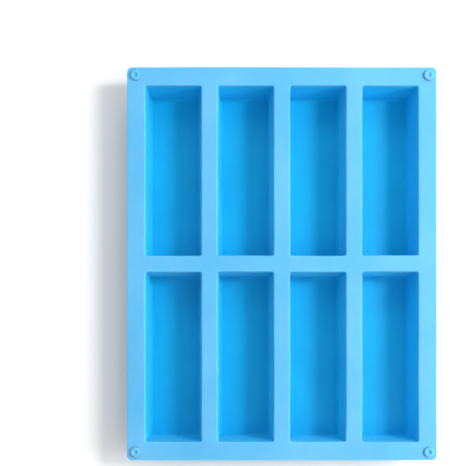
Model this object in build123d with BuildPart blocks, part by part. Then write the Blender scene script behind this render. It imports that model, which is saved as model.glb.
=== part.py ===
from build123d import *
from math import atan, degrees
import os

# Silicone soap mould: eight long bar cavities hang from one flat deck.
#
# The mould is one flexible moulding. Its regions are written as separate solids
# that meet face to face: the deck, a cup for each cavity, a rim strip along each
# edge, and a pad and a stud at each corner.
#
# It stands face up on the cup floors. +Z is up, Y runs along the bars, and the
# origin is the middle of the footprint, level with the underside of the cups.
# All sizes are in millimetres.

# Deck: the flat top sheet
deck_length = 290.0
deck_width = 228.5
deck_thickness = 2.5
deck_corner_radius = 3.5
deck_edge_fillet = 0.6

# Cavities, measured at the top face of the deck
columns = 4
rows = 2
cavity_length = 125.4
cavity_width = 41.5
cavity_depth = 26.0
web = 11.8                     # deck left between two neighbouring cavities
draft = 1.8                    # each wall leans in by this much over the depth
cavity_corner_radius = 1.6
lip_fillet = 0.8               # where the deck rolls over into the walls
floor_fillet = 1.5             # where the walls meet the floor

# Cups: what hangs below the deck
wall = 2.0
floor_thickness = 2.0
base_fillet = 1.6              # outside, around the underside of each cup

# Rim: a bead that stiffens the edge of the deck from below
rim_width = 2.0
rim_depth = 2.2
rim_fillet = 0.5

# Corner pads: square bosses under the deck, each with a domed blind pocket
pad_size = 13.0
pad_inner_radius = 3.5
pocket_radius = 3.9            # of the dome, which passes the pad and ends in the deck

# Corner studs: low rings on top of the deck, above the pockets
corner_inset = 6.2             # from both edges to the pocket's and stud's axis
stud_radius = 3.8
stud_height = 1.6
stud_fillet = 0.9
dimple_radius = 1.5
dimple_depth = 1.0

# Worked out from the sizes above
deck_top = floor_thickness + cavity_depth
deck_underside = deck_top - deck_thickness
rim_underside = deck_underside - rim_depth
draft_angle = degrees(atan(draft / cavity_depth))
column_pitch = cavity_width + web
row_pitch = cavity_length + web
half_width = deck_width / 2
half_length = deck_length / 2
stud_x = half_width - corner_inset
stud_y = half_length - corner_inset
side_rim_length = deck_length - 2 * pad_size
end_rim_length = deck_width - 2 * pad_size


def drafted_block(x, y, top, bottom, growth, bottom_fillet):
    """A solid with the cavity's outline and draft, grown outwards on all four sides."""
    inset = draft * (deck_top - top) / cavity_depth - growth
    with BuildPart() as block:
        with BuildSketch(Plane((x, y, top))):
            Rectangle(cavity_width - 2 * inset, cavity_length - 2 * inset)
        extrude(amount=bottom - top, taper=draft_angle)
        middle = (top + bottom) / 2
        slanted = block.edges().filter_by_position(Axis.Z, middle - 1, middle + 1)
        fillet(slanted, cavity_corner_radius + growth)
        fillet(block.edges().group_by(Axis.Z)[0], bottom_fillet)
    return block.part


def save(part, name):
    """Label a finished piece and write it as its own STEP file."""
    part.label = name
    export_step(part, f"parts/{name}.step")


os.makedirs("parts", exist_ok=True)
cavities = {
    f"row{row + 1}_column{column + 1}": (
        (column - (columns - 1) / 2) * column_pitch,
        (row - (rows - 1) / 2) * row_pitch,
    )
    for row in range(rows)
    for column in range(columns)
}
corners = {
    "front_left": (-1, -1),
    "front_right": (1, -1),
    "back_left": (-1, 1),
    "back_right": (1, 1),
}

# Cups: a drafted shell with a flat floor for each bar
hollows = []
for name, (x, y) in cavities.items():
    hollow = drafted_block(x, y, deck_top, floor_thickness, 0, floor_fillet)
    hollows.append(hollow)
    with BuildPart() as cup:
        add(drafted_block(x, y, deck_underside, 0, wall, base_fillet))
        add(hollow, mode=Mode.SUBTRACT)
    save(cup.part, f"cup_{name}")

# Deck: one rounded sheet with a soft-lipped mouth over each cup
with BuildPart() as deck:
    with BuildSketch(Plane.XY.offset(deck_underside)):
        RectangleRounded(deck_width, deck_length, deck_corner_radius)
    extrude(amount=deck_thickness)
    outer_edge = deck.edges().group_by(Axis.Z)[-1]
    fillet(outer_edge, deck_edge_fillet)
    add(hollows, mode=Mode.SUBTRACT)
    lips = deck.faces().sort_by(Axis.Z)[-1].inner_wires().edges()
    fillet(lips, lip_fillet)
    with Locations(Plane.XY.offset(rim_underside)):
        with GridLocations(2 * stud_x, 2 * stud_y, 2, 2):
            Sphere(pocket_radius, mode=Mode.SUBTRACT)
save(deck.part, "deck")

# Rim: one strip along each edge, from pad to pad
rim_strips = {
    "rim_left": (-half_width + rim_width / 2, 0, rim_width, side_rim_length),
    "rim_right": (half_width - rim_width / 2, 0, rim_width, side_rim_length),
    "rim_front": (0, -half_length + rim_width / 2, end_rim_length, rim_width),
    "rim_back": (0, half_length - rim_width / 2, end_rim_length, rim_width),
}
for name, (x, y, size_x, size_y) in rim_strips.items():
    with BuildPart() as rim:
        with BuildSketch(Plane((x, y, rim_underside))):
            Rectangle(size_x, size_y)
        extrude(amount=rim_depth)
        along = Axis.Y if size_y > size_x else Axis.X
        fillet(rim.edges().group_by(Axis.Z)[0].filter_by(along), rim_fillet)
    save(rim.part, name)

# Corner pads: they close the rim at each corner and hold the blind pockets
for name, (side_x, side_y) in corners.items():
    pad_x = side_x * (half_width - pad_size / 2)
    pad_y = side_y * (half_length - pad_size / 2)
    with BuildPart() as pad:
        with BuildSketch(Plane((pad_x, pad_y, rim_underside))) as outline:
            Rectangle(pad_size, pad_size)
            outwards = Axis((0, 0, 0), (side_x, side_y, 0))
            fillet(outline.vertices().sort_by(outwards)[-1], deck_corner_radius)
            fillet(outline.vertices().sort_by(outwards)[0], pad_inner_radius)
        extrude(amount=rim_depth)
        with Locations((side_x * stud_x, side_y * stud_y, rim_underside)):
            Sphere(pocket_radius, mode=Mode.SUBTRACT)
    save(pad.part, f"pad_{name}")

# Corner studs: rounded rings with a shallow dimple
for name, (side_x, side_y) in corners.items():
    foot = Plane((side_x * stud_x, side_y * stud_y, deck_top))
    with BuildPart() as stud:
        with BuildSketch(foot):
            Circle(stud_radius)
        extrude(amount=stud_height)
        fillet(stud.edges().group_by(Axis.Z)[-1], stud_fillet)
        with BuildSketch(foot.offset(stud_height)):
            Circle(dimple_radius)
        extrude(amount=-dimple_depth, mode=Mode.SUBTRACT)
    save(stud.part, f"stud_{name}")
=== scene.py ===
import math

import bmesh
import bpy
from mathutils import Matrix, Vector, noise


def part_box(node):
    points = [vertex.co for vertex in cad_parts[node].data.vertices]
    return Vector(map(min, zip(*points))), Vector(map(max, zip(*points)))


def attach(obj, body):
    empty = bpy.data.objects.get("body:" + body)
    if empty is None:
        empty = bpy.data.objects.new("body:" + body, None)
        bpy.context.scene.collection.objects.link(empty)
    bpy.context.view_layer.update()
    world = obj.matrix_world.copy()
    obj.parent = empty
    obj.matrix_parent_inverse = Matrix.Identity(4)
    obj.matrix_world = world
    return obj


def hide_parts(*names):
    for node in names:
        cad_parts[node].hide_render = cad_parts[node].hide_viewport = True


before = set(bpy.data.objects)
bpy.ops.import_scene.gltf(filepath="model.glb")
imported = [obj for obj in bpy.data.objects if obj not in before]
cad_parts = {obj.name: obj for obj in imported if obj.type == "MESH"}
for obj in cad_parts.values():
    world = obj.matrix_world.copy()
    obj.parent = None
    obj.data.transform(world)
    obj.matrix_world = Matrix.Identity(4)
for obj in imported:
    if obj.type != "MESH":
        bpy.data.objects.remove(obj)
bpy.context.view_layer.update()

# A silicone soap mould: one soft moulding with eight bar cavities hung from a flat
# deck. The whole skin is one continuous mesh, built cell by cell from rings of
# points that run from the deck over a soft lip, down the wall and across the floor,
# and the same again for the underside. Units are metres.

MM = 0.001

# The moulding's details
WALL = 2.0 * MM
FLOOR = 2.0 * MM
LEAN = 1.8 * MM               # how far each wall leans in, from deck to floor
CAVITY_CORNER = 1.6 * MM
LIP = 0.75 * MM               # radius where the deck rolls into a cavity
FLOOR_FILLET = 1.5 * MM
BASE_FILLET = 1.6 * MM        # outside, around the underside of a cup
ROOT_FILLET = 1.0 * MM        # where a cup's outside meets the deck
DECK_CORNER = 3.5 * MM
DECK_EDGE = 0.6 * MM
RIM_EDGE = 0.5 * MM
PAD_CORNER = 3.5 * MM
PAD_ROOT = 0.6 * MM           # how far a pad reaches into the deck
PAD_HIDDEN = 0.3              # of the rim's width, how far a pad stays inside it
STUD_EDGE = 1.25 * MM
STUD_ROOT = 0.25 * MM         # radius at a stud's foot
STUD_BURIED = 0.8 * MM        # how far a stud reaches into the deck
DIMPLE_LIP = 0.8 * MM
DIMPLE_RADIUS = 1.5 * MM
DIMPLE_DEPTH = 1.0 * MM
POCKET_RADIUS = 3.9 * MM

# How finely rings are divided
CORNER_STEPS = 8              # per rounded corner, an even number
SHORT_STEPS = 6               # along a cavity's width
LONG_STEPS = 18               # along a cavity's length
FILLET_STEPS = 5
WALL_STEPS = 7
REACH = 7 * MM                # straight sides of square rings stop this far inside a mouth
LATHE_STEPS = 48
WELD = 0.01 * MM

# Extra rings beside the fillets, which keep the flat areas' shading flat
DECK_RING = 3.4 * MM          # on the deck, out from a mouth
LIP_RING = 0.5 * MM           # on both sides of the lip
ROOT_RING = 0.9 * MM          # on the deck's underside, out from a cup
ROOT_DROP = 1.0 * MM          # on a cup's wall, down from that fillet
FLOOR_RING = 1.5 * MM         # on a cavity's floor and under a cup, in from the fillet
FLOOR_RING_CORNER = 1.0 * MM
FLOOR_SQUARE = 3.2 * MM       # square ring on the floor, which the grid fills
BASE_SQUARE = 3.6 * MM        # the same under a cup

# Where fillets stop short of a full quarter, in degrees
LIP_END = 86                  # on the leaning wall
ROOT_END = 4
FOOT_START = 15
DIMPLE_START = 20
DIMPLE_FLOOR = (10, 80)
DOME_START = 8
CORNER_SHRINK = 0.2           # of a floor fillet's run, lost by the corner's radius
LEAST_CORNER = 0.3 * MM

# How far soft silicone strays from straight
WALL_BOW = 0.55 * MM
DECK_WAVE = 0.30 * MM
EDGE_WAVE = 0.40 * MM
EDGE_ZONE = 16 * MM           # along the deck's edge, where walls' bowing fades out
FLOOR_ZONE = 6 * MM           # above the ground, where it fades in
LEAST_BOW = 0.45              # share of the bow at the ground and at the deck
BOW_SIZE = 55 * MM            # of the unevenness
EDGE_SIZE = 60 * MM
DECK_SIZE = 80 * MM
BOW_X, BOW_Y = 3.1, 8.7       # seeds
EDGE_X, EDGE_Y = 5.3, 1.9
DECK_Z = 6.4
SHARP = 50                    # degrees

# Colours, as linear light: the satin outside carries a painted whitish sheen, which stands in for
# the pale veil that light lays on the lit deck; the polished cavities keep the plain blue
PAINTED_SHEEN_DARK = (0.110, 0.450, 0.725)
PAINTED_SHEEN_LIGHT = (0.150, 0.495, 0.770)
CLEAR_DARK = (0.000, 0.430, 0.735)
CLEAR_LIGHT = (0.003, 0.480, 0.795)

# A mask from 0 outside to 1 deep in a cavity: satin and the painted whitish sheen outside, polish
# and the plain blue inside
POLISH_VS_PAINTED_SHEEN = "polish_vs_painted_sheen"
SHEEN_TO_POLISH_START = 0.3 * MM       # below the deck, where the polish sets in and the painted sheen starts to fade
SHEEN_TO_POLISH_END = 2.2 * MM       # and where the polish is complete and the painted sheen is gone
SATIN = 0.50
POLISHED = 0.46

# Studio: place, width and height, power and aim of each softbox. The room is dim
# overhead and bright half way up, as (sine of elevation, radiance) pairs.
BEYOND_LEFT = (-0.50, 0.00, 0.30)
MIDDLE = (0.0, 0.0, 0.028)
SOFTBOXES = {
    "key": ((0.88, 0.24, 1.03), (0.28, 0.36), 12.2, BEYOND_LEFT),
    "side": ((0.84, -0.10, 0.50), (0.30, 0.40), 5.2, MIDDLE),
    "front": ((0.30, -0.40, 0.89), (0.40, 0.40), 1.25, MIDDLE),
    "back": ((0.00, 0.77, 0.67), (0.40, 0.40), 1.4, MIDDLE),
    "left": ((-0.50, 0.00, 0.89), (0.40, 0.40), 0.8, MIDDLE),
}
ROOM = ((0.0, 0.55), (0.35, 0.35), (0.60, 0.95), (0.95, 0.05))
GROUND = 30.0                 # half the ground's side
LENS = 55.0
SENSOR = 36.0
CAMERA_HEIGHT = 0.524         # above the deck
CAMERA_FOOT = (-0.0474, -0.0525)
SHIFT = (0.016, 0.2189)

# Places read from the frame
(DECK_X0, DECK_Y0, UNDERSIDE), (DECK_X1, DECK_Y1, DECK_TOP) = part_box("deck")
(RIM_X0, _, RIM_BOTTOM), (RIM_X1, _, _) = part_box("rim_left")
RIM_WIDTH = RIM_X1 - RIM_X0
DEPTH = DECK_TOP - FLOOR
CORNERS = ("front_left", "front_right", "back_left", "back_right")
CUPS = [node for node in sorted(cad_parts) if node.startswith("cup_")]
RIMS = [node for node in sorted(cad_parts) if node.startswith("rim_")]


# ---------------------------------------------------------------- rings of points


def lean_at(z):
    """How far the cavity's outline has drawn in at a height."""
    return LEAN * (DECK_TOP - z) / DEPTH


class Cell:
    """One cavity with its share of the deck, out to the middle of each web."""

    def __init__(self, cup, xs, ys):
        low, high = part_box(cup)
        self.x = (low[0] + high[0]) / 2
        self.y = (low[1] + high[1]) / 2
        top_inset = lean_at(UNDERSIDE) - WALL
        self.half_x = (high[0] - low[0]) / 2 + top_inset
        self.half_y = (high[1] - low[1]) / 2 + top_inset
        column = xs.index(round(self.x, 5))
        row = ys.index(round(self.y, 5))
        # distances to the cell's sides: right, left, back, front
        self.right = (xs[column + 1] - self.x) / 2 if column + 1 < len(xs) else None
        self.left = (self.x - xs[column - 1]) / 2 if column else None
        self.back = (ys[row + 1] - self.y) / 2 if row + 1 < len(ys) else None
        self.front = (self.y - ys[row - 1]) / 2 if row else None
        # straight sides of square rings end here, so that neighbours share points
        self.reach_x = self.half_x - REACH
        self.reach_y = self.half_y - REACH

    def _assemble(self, corner_path, z):
        """A closed ring from a path for each corner and straight runs between them."""
        ring = []
        signs = ((1, 1), (-1, 1), (-1, -1), (1, -1))
        paths = []
        for index, (sx, sy) in enumerate(signs):
            path = [(sx * px, sy * py) for px, py in corner_path(sx, sy)]
            paths.append(path[::-1] if index % 2 else path)
        for index, path in enumerate(paths):
            ring += path
            steps = LONG_STEPS if index % 2 else SHORT_STEPS
            (ax, ay), (bx, by) = path[-1], paths[(index + 1) % 4][0]
            for step in range(1, steps):
                share = step / steps
                ring.append((ax + (bx - ax) * share, ay + (by - ay) * share))
        return [(self.x + px, self.y + py, z) for px, py in ring]

    def rounded(self, growth, radius, z):
        """A rounded rectangle around the cavity, grown outwards."""
        half_x, half_y = self.half_x + growth, self.half_y + growth

        def path(sx, sy):
            points = []
            for step in range(CORNER_STEPS + 1):
                angle = math.pi / 2 * step / CORNER_STEPS
                points.append((
                    half_x - radius + radius * math.cos(angle),
                    half_y - radius + radius * math.sin(angle),
                ))
            return points

        return self._assemble(path, z)

    def squared(self, extents, radii, z):
        """A ring with square corners, or with rounded ones where radii say so."""

        def path(sx, sy):
            across = extents["right" if sx > 0 else "left"]
            along = extents["back" if sy > 0 else "front"]
            radius = radii.get((sx, sy), 0.0)
            arc_steps = CORNER_STEPS // 2 if radius else 0
            leg_steps = (CORNER_STEPS - arc_steps) // 2
            points = []
            for step in range(leg_steps + 1):
                share = step / leg_steps
                points.append((across, self.reach_y + (along - radius - self.reach_y) * share))
            for step in range(1, arc_steps):
                angle = math.pi / 2 * step / arc_steps
                points.append((
                    across - radius + radius * math.cos(angle),
                    along - radius + radius * math.sin(angle),
                ))
            for step in range(0 if radius else 1, leg_steps + 1):
                share = step / leg_steps
                points.append((across - radius + (self.reach_x - across + radius) * share, along))
            return points

        return self._assemble(path, z)

    def boundary(self, inset, z):
        """The cell's outer ring: along the webs' middles and the deck's inset outline."""
        extents = {
            "right": self.right or DECK_X1 - inset - self.x,
            "left": self.left or self.x - DECK_X0 - inset,
            "back": self.back or DECK_Y1 - inset - self.y,
            "front": self.front or self.y - DECK_Y0 - inset,
        }
        radii = {}
        for sx, sy in ((1, 1), (-1, 1), (-1, -1), (1, -1)):
            across = self.right if sx > 0 else self.left
            along = self.back if sy > 0 else self.front
            if across is None and along is None:
                radii[(sx, sy)] = max(DECK_CORNER - inset, LEAST_CORNER)
        return self.squared(extents, radii, z)

    def on_outline(self, point, inset):
        """Whether a boundary point lies on the deck's inset outline."""
        x, y, _ = point
        near = 1e-7
        in_x = (
            (self.right is None and x > self.x + self.reach_x + near)
            or (self.left is None and x < self.x - self.reach_x - near)
        )
        in_y = (
            (self.back is None and y > self.y + self.reach_y + near)
            or (self.front is None and y < self.y - self.reach_y - near)
        )
        at_x = (
            (self.right is None and x > DECK_X1 - inset - DECK_CORNER)
            or (self.left is None and x < DECK_X0 + inset + DECK_CORNER)
        )
        at_y = (
            (self.back is None and y > DECK_Y1 - inset - DECK_CORNER)
            or (self.front is None and y < DECK_Y0 + inset + DECK_CORNER)
        )
        return (in_x and at_x) or (in_y and at_y)


def quarter(steps, start, end):
    """Angles from start to end, in degrees, as cosine and sine pairs."""
    for step in range(steps + 1):
        angle = math.radians(start + (end - start) * step / steps)
        yield math.cos(angle), math.sin(angle)


def add_ring(bm, points):
    """New vertices at the points."""
    return [bm.verts.new(point) for point in points]


def bridge(bm, ring, following, keep=None):
    """Quads between two rings of the same length."""
    count = len(ring)
    for index in range(count):
        after = (index + 1) % count
        if keep and not (keep[index] and keep[after]):
            continue
        bm.faces.new((ring[index], ring[after], following[after], following[index]))


def bridge_all(bm, rings):
    """Quads from each ring to the next, and the last ring's vertices."""
    made = [add_ring(bm, ring) for ring in rings]
    for ring, following in zip(made, made[1:]):
        bridge(bm, ring, following)
    return made[-1]


def fill_grid(bm, ring):
    """Fill a ring with square corners with a grid of quads."""
    columns = SHORT_STEPS + CORNER_STEPS
    rows = LONG_STEPS + CORNER_STEPS

    def side(start, steps):
        # the ring starts half a corner's steps before its back right corner
        first = CORNER_STEPS // 2 + start
        return [ring[(first + step) % len(ring)] for step in range(steps + 1)]

    back = side(0, columns)[::-1]
    left = side(columns, rows)
    front = side(columns + rows, columns)
    right = side(2 * columns + rows, rows)[::-1]
    grid = [back]
    for row in range(1, rows):
        line = [left[row]]
        for column in range(1, columns):
            spot = Vector((back[column].co.x, left[row].co.y, left[row].co.z))
            line.append(bm.verts.new(spot))
        line.append(right[row])
        grid.append(line)
    grid.append(front)
    for upper, lower in zip(grid, grid[1:]):
        for column in range(columns):
            bm.faces.new((upper[column], upper[column + 1], lower[column + 1], lower[column]))


def inner_square(cell, growth, z):
    """A square ring around the cavity's middle, grown outwards from its mouth."""
    extents = {
        "right": cell.half_x + growth,
        "left": cell.half_x + growth,
        "back": cell.half_y + growth,
        "front": cell.half_y + growth,
    }
    return cell.squared(extents, {}, z)


# ------------------------------------------------------------------- the moulding


def top_skin(bm, cell):
    """Deck, lip, walls and floor of one cavity, as seen from above."""
    rings = [cell.boundary(DECK_EDGE, DECK_TOP)]
    for growth in (DECK_RING, LIP + LIP_RING):
        rings.append(cell.rounded(growth, CAVITY_CORNER + growth, DECK_TOP))
    for cosine, sine in quarter(FILLET_STEPS + 1, 0, LIP_END):
        growth = LIP * (1 - sine)
        rings.append(cell.rounded(growth, CAVITY_CORNER + growth, DECK_TOP - LIP * (1 - cosine)))
    wall_top = DECK_TOP - LIP - LIP_RING
    wall_foot = FLOOR + FLOOR_FILLET
    for step in range(WALL_STEPS + 1):
        z = wall_top + (wall_foot - wall_top) * step / WALL_STEPS
        rings.append(cell.rounded(-lean_at(z), CAVITY_CORNER, z))
    foot = -lean_at(wall_foot)
    for cosine, sine in quarter(FILLET_STEPS, FOOT_START, 90):
        growth = foot - FLOOR_FILLET * (1 - cosine)
        z = wall_foot - FLOOR_FILLET * sine
        rings.append(cell.rounded(growth, CAVITY_CORNER - CORNER_SHRINK * (foot - growth), z))
    rings.append(cell.rounded(foot - FLOOR_FILLET - FLOOR_RING, FLOOR_RING_CORNER, FLOOR))
    rings.append(inner_square(cell, foot - FLOOR_FILLET - FLOOR_SQUARE, FLOOR))
    fill_grid(bm, bridge_all(bm, rings))


def underside_skin(bm, cell):
    """Deck underside, cup walls and cup bottom, as seen from below."""
    rim_foot = RIM_WIDTH + RIM_EDGE
    rings = [cell.boundary(rim_foot, UNDERSIDE)]
    corner = CAVITY_CORNER + WALL
    root = WALL - lean_at(UNDERSIDE - ROOT_FILLET)
    rings.append(cell.rounded(root + ROOT_FILLET + ROOT_RING, corner + ROOT_FILLET, UNDERSIDE))
    for cosine, sine in quarter(FILLET_STEPS, 90, ROOT_END):
        growth = root + ROOT_FILLET * (1 - cosine)
        z = UNDERSIDE - ROOT_FILLET * (1 - sine)
        rings.append(cell.rounded(growth, corner + growth - root, z))
    wall_top = UNDERSIDE - ROOT_FILLET - ROOT_DROP
    wall_foot = BASE_FILLET
    for step in range(WALL_STEPS + 1):
        z = wall_top + (wall_foot - wall_top) * step / WALL_STEPS
        rings.append(cell.rounded(WALL - lean_at(z), corner, z))
    foot = WALL - lean_at(wall_foot)
    for cosine, sine in quarter(FILLET_STEPS, FOOT_START, 90):
        growth = foot - BASE_FILLET * (1 - cosine)
        z = wall_foot - BASE_FILLET * sine
        rings.append(cell.rounded(growth, corner + growth - foot, z))
    rings.append(cell.rounded(foot - BASE_FILLET - FLOOR_RING, corner - BASE_FILLET, 0))
    rings.append(inner_square(cell, foot - BASE_FILLET - BASE_SQUARE, 0))
    fill_grid(bm, bridge_all(bm, rings))


def edge_skin(bm, cell):
    """The deck's edge and the rim bead below it, along a cell's outer sides."""
    profile = [
        (DECK_EDGE * (1 - sine), DECK_TOP - DECK_EDGE * (1 - cosine))
        for cosine, sine in quarter(FILLET_STEPS, 0, 90)
    ]
    profile.append((0, (DECK_TOP + RIM_BOTTOM) / 2))
    for cosine, sine in quarter(FILLET_STEPS - 1, 0, 90):
        profile.append((RIM_EDGE * (1 - cosine), RIM_BOTTOM + RIM_EDGE * (1 - sine)))
    for cosine, sine in quarter(FILLET_STEPS - 1, 90, 0):
        inset = RIM_WIDTH - RIM_EDGE * (1 - cosine)
        profile.append((inset, RIM_BOTTOM + RIM_EDGE * (1 - sine)))
    for cosine, sine in quarter(FILLET_STEPS - 1, 0, 90):
        inset = RIM_WIDTH + RIM_EDGE * (1 - cosine)
        profile.append((inset, UNDERSIDE - RIM_EDGE * (1 - sine)))
    made, keeps = [], []
    for inset, z in profile:
        points = cell.boundary(inset, z)
        made.append(add_ring(bm, points))
        keeps.append([cell.on_outline(point, inset) for point in points])
    for ring, following, keep in zip(made, made[1:], keeps):
        bridge(bm, ring, following, keep)
    loose = [vert for ring in made for vert in ring if not vert.link_faces]
    bmesh.ops.delete(bm, geom=loose, context="VERTS")


def cells():
    """All cavities, each told where the columns and rows stand."""
    boxes = [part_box(cup) for cup in CUPS]
    xs = sorted({round((low[0] + high[0]) / 2, 5) for low, high in boxes})
    ys = sorted({round((low[1] + high[1]) / 2, 5) for low, high in boxes})
    return [Cell(cup, xs, ys) for cup in CUPS]


def finish_mesh(bm, name):
    """Weld, orient and turn a bmesh into an object."""
    bmesh.ops.remove_doubles(bm, verts=bm.verts, dist=WELD)
    bmesh.ops.recalc_face_normals(bm, faces=bm.faces)
    mesh = bpy.data.meshes.new(name)
    bm.to_mesh(mesh)
    bm.free()
    piece = bpy.data.objects.new(name, mesh)
    bpy.context.scene.collection.objects.link(piece)
    return piece


def lathe(bm, x, y, profile):
    """A closed turned shape from (radius, height) pairs that start and end on the axis."""
    rings = []
    for radius, z in profile[1:-1]:
        ring = []
        for step in range(LATHE_STEPS):
            angle = math.tau * step / LATHE_STEPS
            ring.append((x + radius * math.cos(angle), y + radius * math.sin(angle), z))
        rings.append(add_ring(bm, ring))
    for ring, following in zip(rings, rings[1:]):
        bridge(bm, ring, following)
    for ring, (_, z) in ((rings[0], profile[0]), (rings[-1], profile[-1])):
        tip = bm.verts.new((x, y, z))
        for index in range(LATHE_STEPS):
            bm.faces.new((ring[index], ring[(index + 1) % LATHE_STEPS], tip))


def cut_or_join(piece, tool, operation):
    """Apply a boolean with another object and remove that object."""
    change = piece.modifiers.new("shape", "BOOLEAN")
    change.operation = operation
    change.object = tool
    change.solver = "EXACT"
    bpy.context.view_layer.objects.active = piece
    bpy.ops.object.modifier_apply(modifier=change.name)
    bpy.data.objects.remove(tool)


def corner_axis(corner):
    """Where a corner's stud and pocket stand, and which way that corner points."""
    low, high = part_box(f"stud_{corner}")
    x = (low[0] + high[0]) / 2
    y = (low[1] + high[1]) / 2
    return x, y, math.copysign(1, x), math.copysign(1, y)


def pad_ring(corner, inset, z):
    """A corner pad's outline, drawn in on its two free sides and hidden in the rim."""
    _, _, sx, sy = corner_axis(corner)
    low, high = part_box(f"pad_{corner}")
    edge = {1: high, -1: low}
    hidden = RIM_WIDTH * PAD_HIDDEN + inset
    outer_x, outer_y = edge[sx][0] - sx * hidden, edge[sy][1] - sy * hidden
    inner_x, inner_y = edge[-sx][0] + sx * inset, edge[-sy][1] + sy * inset
    outer_radius, inner_radius = DECK_CORNER - hidden, PAD_CORNER - inset
    ring = [(outer_x, inner_y), (inner_x, outer_y)]
    arcs = []
    for radius, x, y, side in (
        (outer_radius, outer_x, outer_y, 1),
        (inner_radius, inner_x, inner_y, -1),
    ):
        arc = []
        for cosine, sine in quarter(CORNER_STEPS, 0, 90):
            arc.append((
                x - side * sx * radius * (1 - cosine),
                y - side * sy * radius * (1 - sine),
            ))
        arcs.append(arc)
    outline = [ring[0]] + arcs[0] + [ring[1]] + arcs[1]
    return [(x, y, z) for x, y in outline]


def add_pads_and_pockets(piece):
    """Join a square pad under each corner and sink a domed pocket into it."""
    bm = bmesh.new()
    for corner in CORNERS:
        rings = []
        for cosine, sine in quarter(FILLET_STEPS, 90, 0):
            z = RIM_BOTTOM + RIM_EDGE * (1 - sine)
            rings.append(pad_ring(corner, RIM_EDGE * (1 - cosine), z))
        rings.append(pad_ring(corner, 0, UNDERSIDE + PAD_ROOT))
        made = [add_ring(bm, ring) for ring in rings]
        for ring, following in zip(made, made[1:]):
            bridge(bm, ring, following)
        bm.faces.new(made[0])
        bm.faces.new(made[-1])
    cut_or_join(piece, finish_mesh(bm, "pads"), "UNION")

    bm = bmesh.new()
    for corner in CORNERS:
        x, y, _, _ = corner_axis(corner)
        profile = [(0, RIM_BOTTOM - MM), (POCKET_RADIUS + RIM_EDGE, RIM_BOTTOM - MM)]
        for cosine, sine in quarter(FILLET_STEPS, 90, 0):
            profile.append((
                POCKET_RADIUS + RIM_EDGE * (1 - cosine),
                RIM_BOTTOM + RIM_EDGE * (1 - sine),
            ))
        dome = POCKET_RADIUS - RIM_EDGE
        for cosine, sine in quarter(2 * FILLET_STEPS, DOME_START, 90):
            profile.append((POCKET_RADIUS * cosine, RIM_BOTTOM + RIM_EDGE + dome * sine))
        lathe(bm, x, y, profile)
    cut_or_join(piece, finish_mesh(bm, "pockets"), "DIFFERENCE")


def moulding():
    """The whole skin but for the studs, as one closed mesh."""
    bm = bmesh.new()
    for cell in cells():
        top_skin(bm, cell)
        underside_skin(bm, cell)
        edge_skin(bm, cell)
    piece = finish_mesh(bm, "moulding")
    add_pads_and_pockets(piece)
    return piece


def stud(corner):
    """A low ring with rounded shoulders and a dimple, moulded on the deck."""
    x, y, _, _ = corner_axis(corner)
    low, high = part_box(f"stud_{corner}")
    radius, top = (high[0] - low[0]) / 2, high[2]
    buried = DECK_TOP - STUD_BURIED
    profile = [(0, buried), (radius + STUD_ROOT, buried)]
    for cosine, sine in quarter(3, 90, 0):
        profile.append((radius + STUD_ROOT * (1 - sine), DECK_TOP + STUD_ROOT * (1 - cosine)))
    for cosine, sine in quarter(2 * FILLET_STEPS, 0, 90):
        profile.append((radius - STUD_EDGE * (1 - cosine), top - STUD_EDGE * (1 - sine)))
    for cosine, sine in quarter(FILLET_STEPS, 90, DIMPLE_START):
        profile.append((DIMPLE_RADIUS + DIMPLE_LIP * (1 - cosine), top - DIMPLE_LIP * (1 - sine)))
    floor = top - DIMPLE_DEPTH
    foot = profile[-1][1] - floor
    for cosine, sine in quarter(FILLET_STEPS, *DIMPLE_FLOOR):
        profile.append((DIMPLE_RADIUS * cosine, floor + foot * (1 - sine)))
    profile.append((0, floor))
    bm = bmesh.new()
    lathe(bm, x, y, profile)
    return finish_mesh(bm, f"moulded_stud_{corner}")


# ------------------------------------------------------------ softness of the sheet


def smooth_step(low, high, value):
    """From 0 at low to 1 at high, with a gentle start and end."""
    share = min(max((value - low) / (high - low), 0.0), 1.0)
    return share * share * (3 - 2 * share)


def wander(x, y, seed, size):
    """A smooth unevenness between -1 and 1, with features of about the given size."""
    return noise.noise(Vector((x / size, y / size, seed)))


def soften(piece):
    """Let straight walls bow and the flat deck wave a little, as soft silicone does."""
    for vertex in piece.data.vertices:
        x, y, z = vertex.co
        height = max(z, 0) / DECK_TOP
        middle = LEAST_BOW + (1 - LEAST_BOW) * math.sin(math.pi * min(height, 1))
        edge_x = smooth_step(DECK_X1 - EDGE_ZONE, DECK_X1, abs(x))
        edge_y = smooth_step(DECK_Y1 - EDGE_ZONE, DECK_Y1, abs(y))
        inside = (1 - edge_x) * (1 - edge_y)
        bow = WALL_BOW * middle * inside * smooth_step(0, FLOOR_ZONE, z)
        in_x = 0.5 + 0.5 * wander(x, y, EDGE_X, EDGE_SIZE)
        in_y = 0.5 + 0.5 * wander(x, y, EDGE_Y, EDGE_SIZE)
        sag = 0.5 + 0.5 * wander(x, y, DECK_Z, DECK_SIZE)
        vertex.co.x += bow * wander(x, y, BOW_X, BOW_SIZE)
        vertex.co.y += bow * wander(x, y, BOW_Y, BOW_SIZE)
        vertex.co.x -= math.copysign(edge_x * EDGE_WAVE, x) * in_x
        vertex.co.y -= math.copysign(edge_y * EDGE_WAVE, y) * in_y
        vertex.co.z -= DECK_WAVE * sag * height ** 3


def smooth_shading(piece):
    """Smooth normals that stay flat on large faces and crisp on sharp edges."""
    mesh = piece.data
    mesh.polygons.foreach_set("use_smooth", [True] * len(mesh.polygons))
    mesh.set_sharp_from_angle(angle=math.radians(SHARP))
    normals = piece.modifiers.new("normals", "WEIGHTED_NORMAL")
    normals.keep_sharp = True
    normals.weight = 80


# ----------------------------------------------------------------------- silicone


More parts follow.
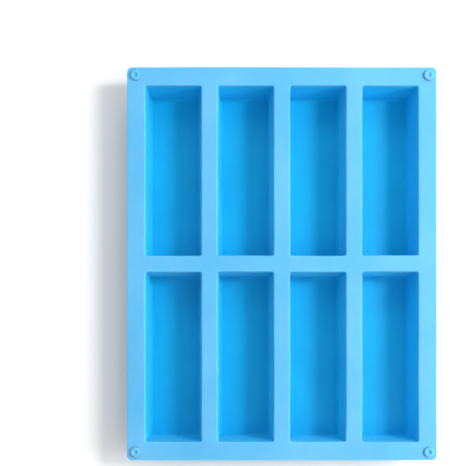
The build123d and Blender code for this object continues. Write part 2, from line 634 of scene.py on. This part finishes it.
def mark_cavities(piece):
    """Store on each point how far it is inside a cavity, where the mould is polished and the
    painted sheen is left off.
    """
    hollows = cells()
    shares = []
    for vertex in piece.data.vertices:
        x, y, z = vertex.co
        margin = MM - lean_at(z)
        inside = z > FLOOR - MM and any(
            abs(x - cell.x) < cell.half_x + margin and abs(y - cell.y) < cell.half_y + margin
            for cell in hollows
        )
        shares.append(smooth_step(SHEEN_TO_POLISH_START, SHEEN_TO_POLISH_END, DECK_TOP - z) if inside else 0.0)
    polish_vs_painted_sheen = piece.data.attributes.new(POLISH_VS_PAINTED_SHEEN, "FLOAT", "POINT")
    polish_vs_painted_sheen.data.foreach_set("value", shares)


def node(tree, kind, **values):
    """A node with values set by the names of its inputs or of its settings."""
    made = tree.nodes.new(kind)
    for key, value in values.items():
        if key in made.inputs:
            made.inputs[key].default_value = value
        else:
            setattr(made, key, value)
    return made


def silicone():
    """Sky-blue satin silicone: light soaks in, and the surface is faintly uneven."""
    material = bpy.data.materials.new("sky_blue_silicone")
    material.use_nodes = True
    tree = material.node_tree
    link = tree.links.new
    shader = tree.nodes["Principled BSDF"]
    place = node(tree, "ShaderNodeTexCoord")

    polish_vs_painted_sheen = node(tree, "ShaderNodeAttribute", attribute_name=POLISH_VS_PAINTED_SHEEN)

    # colour: faint clouding, over a painted whitish sheen outside that stands in for the pale
    # veil of light on the lit deck, and plain clear blue in the cavities
    clouds = node(tree, "ShaderNodeTexNoise", Scale=22.0, Detail=3.0, Roughness=0.5)
    link(place.outputs["Object"], clouds.inputs["Vector"])
    tints = []
    for dark, light in ((PAINTED_SHEEN_DARK, PAINTED_SHEEN_LIGHT), (CLEAR_DARK, CLEAR_LIGHT)):
        tint = node(tree, "ShaderNodeValToRGB")
        tint.color_ramp.elements[0].position = 0.3
        tint.color_ramp.elements[0].color = (*dark, 1)
        tint.color_ramp.elements[1].position = 0.7
        tint.color_ramp.elements[1].color = (*light, 1)
        link(clouds.outputs["Fac"], tint.inputs["Fac"])
        tints.append(tint)
    # the mask mixes from the painted sheen colour outside to the plain blue in the cavities
    colour = node(tree, "ShaderNodeMixRGB")
    link(polish_vs_painted_sheen.outputs["Fac"], colour.inputs["Fac"])
    link(tints[0].outputs["Color"], colour.inputs["Color1"])
    link(tints[1].outputs["Color"], colour.inputs["Color2"])
    link(colour.outputs["Color"], shader.inputs["Base Color"])

    # roughness: satin outside, smoother in the cavities, both a little patchy
    patches = node(tree, "ShaderNodeTexNoise", Scale=60.0, Detail=4.0, Roughness=0.6)
    link(place.outputs["Object"], patches.inputs["Vector"])
    finish = node(tree, "ShaderNodeMapRange")
    finish.inputs["To Min"].default_value = SATIN
    finish.inputs["To Max"].default_value = POLISHED
    link(polish_vs_painted_sheen.outputs["Fac"], finish.inputs["Value"])
    uneven = node(tree, "ShaderNodeMapRange")
    uneven.inputs["To Min"].default_value = -0.07
    uneven.inputs["To Max"].default_value = 0.07
    link(patches.outputs["Fac"], uneven.inputs["Value"])
    roughness = node(tree, "ShaderNodeMath", operation="ADD")
    link(finish.outputs["Result"], roughness.inputs[0])
    link(uneven.outputs["Result"], roughness.inputs[1])
    link(roughness.outputs["Value"], shader.inputs["Roughness"])

    # bump: the fine matt texture of the metal mould, over a slow ripple
    grain = node(tree, "ShaderNodeTexNoise", Scale=1400.0, Detail=3.0, Roughness=0.6)
    ripple = node(tree, "ShaderNodeTexNoise", Scale=45.0, Detail=2.0, Roughness=0.4)
    link(place.outputs["Object"], grain.inputs["Vector"])
    link(place.outputs["Object"], ripple.inputs["Vector"])
    fine = node(tree, "ShaderNodeBump", Strength=0.12, Distance=0.06 * MM)
    slow = node(tree, "ShaderNodeBump", Strength=0.35, Distance=0.5 * MM)
    link(grain.outputs["Fac"], fine.inputs["Height"])
    link(ripple.outputs["Fac"], slow.inputs["Height"])
    link(slow.outputs["Normal"], fine.inputs["Normal"])
    link(fine.outputs["Normal"], shader.inputs["Normal"])

    shader.inputs["Subsurface Weight"].default_value = 1.0
    shader.inputs["Subsurface Radius"].default_value = (0.25, 1.1, 1.2)
    shader.inputs["Subsurface Scale"].default_value = 1.7 * MM
    shader.inputs["IOR"].default_value = 1.41
    shader.inputs["Specular IOR Level"].default_value = 0.28
    shader.inputs["Sheen Weight"].default_value = 0.08
    shader.inputs["Sheen Roughness"].default_value = 0.4
    return material


def floor_material():
    """Plain pale paper."""
    material = bpy.data.materials.new("pale_floor")
    material.use_nodes = True
    tree = material.node_tree
    shader = tree.nodes["Principled BSDF"]
    place = node(tree, "ShaderNodeTexCoord")
    paper = node(tree, "ShaderNodeTexNoise", Scale=300.0, Detail=2.0)
    tone = node(tree, "ShaderNodeValToRGB")
    tone.color_ramp.elements[0].color = (0.93, 0.93, 0.93, 1)
    tone.color_ramp.elements[1].color = (0.96, 0.96, 0.96, 1)
    tree.links.new(place.outputs["Object"], paper.inputs["Vector"])
    tree.links.new(paper.outputs["Fac"], tone.inputs["Fac"])
    tree.links.new(tone.outputs["Color"], shader.inputs["Base Color"])
    shader.inputs["Roughness"].default_value = 0.9
    return material


# -------------------------------------------------------------------------- studio


def softbox(name, place, size, power, target):
    """A rectangular light at a place, turned towards a target."""
    data = bpy.data.lights.new(name, "AREA")
    data.shape = "RECTANGLE"
    data.size, data.size_y = size
    data.energy = power
    light = bpy.data.objects.new(name, data)
    light.location = place
    towards = Vector(target) - light.location
    light.rotation_euler = towards.to_track_quat("-Z", "Y").to_euler()
    bpy.context.scene.collection.objects.link(light)


def studio():
    """The ground, the dim room and the softboxes."""
    mesh = bpy.data.meshes.new("floor")
    mesh.from_pydata(
        [(GROUND * x, GROUND * y, 0) for x, y in ((-1, -1), (1, -1), (1, 1), (-1, 1))],
        [],
        [(0, 1, 2, 3)],
    )
    floor = bpy.data.objects.new("floor", mesh)
    bpy.context.scene.collection.objects.link(floor)
    mesh.materials.append(floor_material())

    world = bpy.data.worlds.new("room")
    world.use_nodes = True
    tree = world.node_tree
    place = node(tree, "ShaderNodeTexCoord")
    height = node(tree, "ShaderNodeSeparateXYZ")
    room = node(tree, "ShaderNodeValToRGB")
    stops = room.color_ramp.elements
    while len(stops) < len(ROOM):
        stops.new(0.5)
    for stop, (sine, radiance) in zip(stops, ROOM):
        stop.position = sine
        stop.color = (radiance, radiance, radiance, 1)
    tree.links.new(place.outputs["Generated"], height.inputs["Vector"])
    tree.links.new(height.outputs["Z"], room.inputs["Fac"])
    tree.links.new(room.outputs["Color"], tree.nodes["Background"].inputs["Color"])
    bpy.context.scene.world = world
    for name, (place, size, power, target) in SOFTBOXES.items():
        softbox(name, place, size, power, target)
    bpy.context.scene.view_settings.view_transform = "Standard"


def camera():
    """Straight down, with the lens shifted to frame the mould."""
    data = bpy.data.cameras.new("camera")
    data.lens = LENS
    data.sensor_width = SENSOR
    data.shift_x, data.shift_y = SHIFT
    data.clip_start = 0.01
    thing = bpy.data.objects.new("camera", data)
    thing.location = (*CAMERA_FOOT, DECK_TOP + CAMERA_HEIGHT)
    bpy.context.scene.collection.objects.link(thing)
    bpy.context.scene.camera = thing


skin = silicone()
body = moulding()
studs = [stud(corner) for corner in CORNERS]
mark_cavities(body)
for piece in [body] + studs:
    soften(piece)
    smooth_shading(piece)
    piece.data.materials.append(skin)
    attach(piece, "root")
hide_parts("deck", *CUPS, *RIMS, *(f"pad_{corner}" for corner in CORNERS))
for piece, corner in zip(studs, CORNERS):
    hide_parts(f"stud_{corner}")

studio()
camera()
